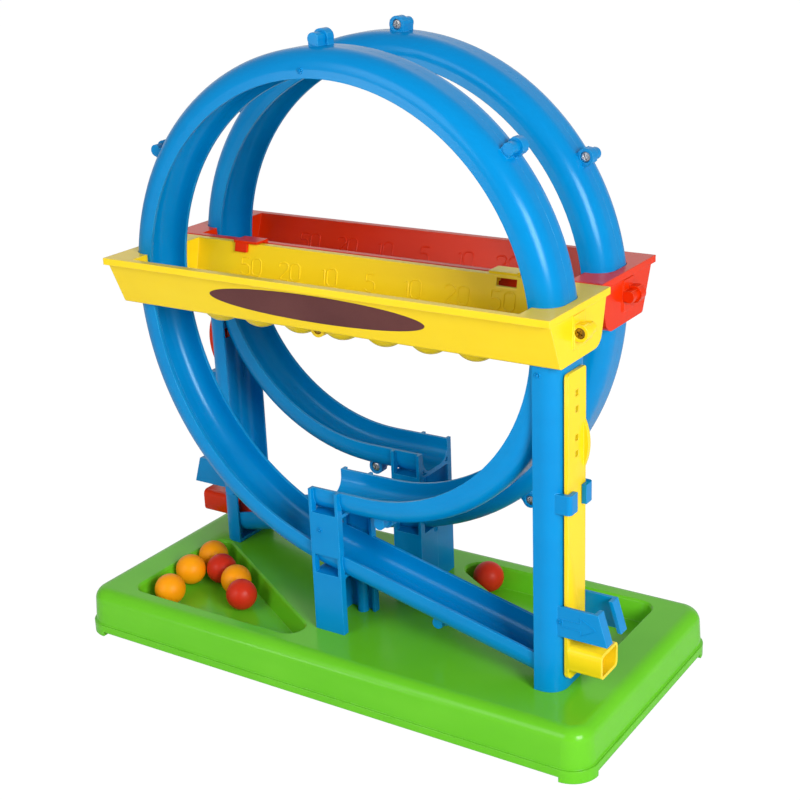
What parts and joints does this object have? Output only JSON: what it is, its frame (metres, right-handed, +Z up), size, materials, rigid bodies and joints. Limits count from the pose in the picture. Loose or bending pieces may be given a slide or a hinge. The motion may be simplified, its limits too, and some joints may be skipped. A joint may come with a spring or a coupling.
{
  "type": "tabletop football game",
  "caption": "Two-player tabletop ball game: spring levers shoot balls up ramps and round open loop tracks, and balls that drop off land in numbered cups of two trays.",
  "frame": {"origin": "middle of the rest plane under the corner feet", "axes": "+Z up, X along the long side, the yellow player's set at -Y and the red player's at +Y"},
  "size_m": [0.36, 0.1746, 0.382],
  "materials": {
    "green_plastic": "gloss moulding",
    "blue_plastic": "gloss moulding",
    "yellow_plastic": "gloss moulding",
    "red_plastic": "gloss moulding",
    "orange_ball": "gloss",
    "red_ball": "gloss",
    "screw_steel": "plated"
  },
  "bodies": {
    "frame": {"base": "green_plastic", "front_track_outer": "blue_plastic", "front_track_inner": "blue_plastic", "front_arch_outer": "blue_plastic", "front_arch_inner": "blue_plastic", "front_post": "blue_plastic", "front_lever_spring": "yellow_plastic", "front_tray_outer": "yellow_plastic", "front_tray_inner": "yellow_plastic", "front_track_screws": "screw_steel", "front_tray_screws": "screw_steel", "rear_track_outer": "blue_plastic", "rear_track_inner": "blue_plastic", "rear_arch_outer": "blue_plastic", "rear_arch_inner": "blue_plastic", "rear_post": "blue_plastic", "rear_lever_spring": "red_plastic", "rear_tray_outer": "red_plastic", "rear_tray_inner": "red_plastic", "rear_track_screws": "screw_steel", "rear_tray_screws": "screw_steel", "base_screws": "screw_steel"},
    "front_lever": {"front_lever_arm": "yellow_plastic"},
    "rear_lever": {"rear_lever_arm": "red_plastic"},
    "orange_ball_launch": {"orange_ball_launch": "orange_ball"},
    "red_ball_launch": {"red_ball_launch": "red_ball"},
    "orange_ball_front": {"orange_ball_front": "orange_ball"},
    "orange_ball_left": {"orange_ball_left": "orange_ball"},
    "orange_ball_rear": {"orange_ball_rear": "orange_ball"},
    "orange_ball_right": {"orange_ball_right": "orange_ball"},
    "red_ball_middle": {"red_ball_middle": "red_ball"},
    "red_ball_near": {"red_ball_near": "red_ball"},
    "red_ball_far": {"red_ball_far": "red_ball"}
  },
  "joints": [
    {"name": "front_lever_pull", "type": "hinge", "parent": "frame", "child": "front_lever", "pos_m": [0.14905, -0.038, 0.13545], "axis": [0, -1, 0], "range_deg": [0, 17], "stiffness_Nm_per_rad": 0.6},
    {"name": "rear_lever_pull", "type": "hinge", "parent": "frame", "child": "rear_lever", "pos_m": [-0.14905, 0.038, 0.13545], "axis": [0, 1, 0], "range_deg": [0, 17], "stiffness_Nm_per_rad": 0.6},
    {"name": "orange_ball_launch_roll", "type": "slide", "parent": "frame", "child": "orange_ball_launch", "axis": [-0.9744, 0, 0.225], "range_m": [0, 0.12]},
    {"name": "red_ball_launch_roll", "type": "slide", "parent": "frame", "child": "red_ball_launch", "axis": [0.9744, 0, 0.225], "range_m": [0, 0.12]},
    {"name": "orange_ball_front_lift", "type": "slide", "parent": "frame", "child": "orange_ball_front", "axis": [0, 0, 1], "range_m": [0, 0.03]},
    {"name": "orange_ball_left_lift", "type": "slide", "parent": "frame", "child": "orange_ball_left", "axis": [0, 0, 1], "range_m": [0, 0.03]},
    {"name": "orange_ball_rear_lift", "type": "slide", "parent": "frame", "child": "orange_ball_rear", "axis": [0, 0, 1], "range_m": [0, 0.03]},
    {"name": "orange_ball_right_lift", "type": "slide", "parent": "frame", "child": "orange_ball_right", "axis": [0, 0, 1], "range_m": [0, 0.03]},
    {"name": "red_ball_middle_lift", "type": "slide", "parent": "frame", "child": "red_ball_middle", "axis": [0, 0, 1], "range_m": [0, 0.03]},
    {"name": "red_ball_near_lift", "type": "slide", "parent": "frame", "child": "red_ball_near", "axis": [0, 0, 1], "range_m": [0, 0.03]},
    {"name": "red_ball_far_lift", "type": "slide", "parent": "frame", "child": "red_ball_far", "axis": [0, 0, 1], "range_m": [0, 0.03]}
  ]
}
